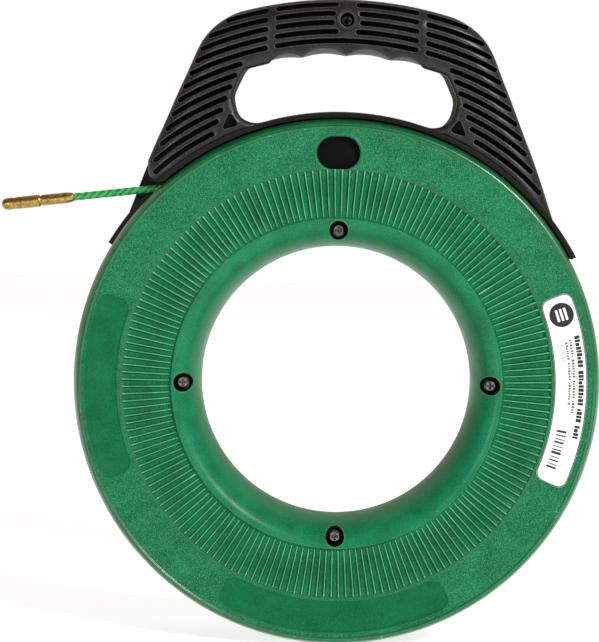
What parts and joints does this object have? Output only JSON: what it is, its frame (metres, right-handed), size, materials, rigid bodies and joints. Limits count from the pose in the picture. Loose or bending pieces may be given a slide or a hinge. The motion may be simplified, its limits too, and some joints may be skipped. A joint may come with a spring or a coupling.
{
  "type": "fish tape reel",
  "caption": "Round two-half case that spins in a cored hand grip and holds a coiled fibreglass pulling tape with a brass tip.",
  "frame": {"origin": "on the case's spin axis, midway between its two flat faces", "axes": "+Y along the spin axis and out of the back face, +Z towards the handle's grip; the front face looks to -Y and the tape leaves towards -X"},
  "size_m": [0.3501, 0.0643, 0.3736],
  "materials": {
    "handle_plastic": "fine-grained glass-filled moulding",
    "shoe_plastic": "smooth moulding",
    "guide_plastic": "smooth moulding",
    "case_plastic": "spark-eroded grain on the flat face, smooth on the rim, ribs and hub",
    "core_plastic": "smooth moulding",
    "label_film": "printed film",
    "tape_fibreglass": "coated fibreglass with a helical wrap",
    "tip_brass": "turned",
    "insert_brass": "knurled",
    "stud_steel": "threaded",
    "anchor_steel": "zinc plated",
    "dark_steel": "black oxide"
  },
  "bodies": {
    "handle": {"handle_front": "handle_plastic", "handle_back": "handle_plastic", "handle_screw": "dark_steel", "slide_shoe": "shoe_plastic", "shoe_screws": "dark_steel", "tape_guide": "guide_plastic", "guide_screws": "dark_steel"},
    "case": {"case_front": "case_plastic", "case_back": "case_plastic", "case_screws": "dark_steel", "case_inserts": "insert_brass", "rating_label": "label_film", "winding_core": "core_plastic", "tape_coil": "tape_fibreglass", "tape_anchor": "anchor_steel", "anchor_screw": "dark_steel"},
    "tape": {"tape_lead": "tape_fibreglass", "tape_ferrule": "tip_brass", "tip_stud": "stud_steel", "leader_tip": "tip_brass"}
  },
  "joints": [
    {"name": "case_spin", "type": "hinge", "parent": "handle", "child": "case", "pos_m": [0, 0, 0], "axis": [0, 1, 0], "continuous": true},
    {"name": "tape_feed", "type": "slide", "parent": "handle", "child": "tape", "axis": [-0.9911, 0, -0.1329], "range_m": [-0.038, 0.06]}
  ]
}
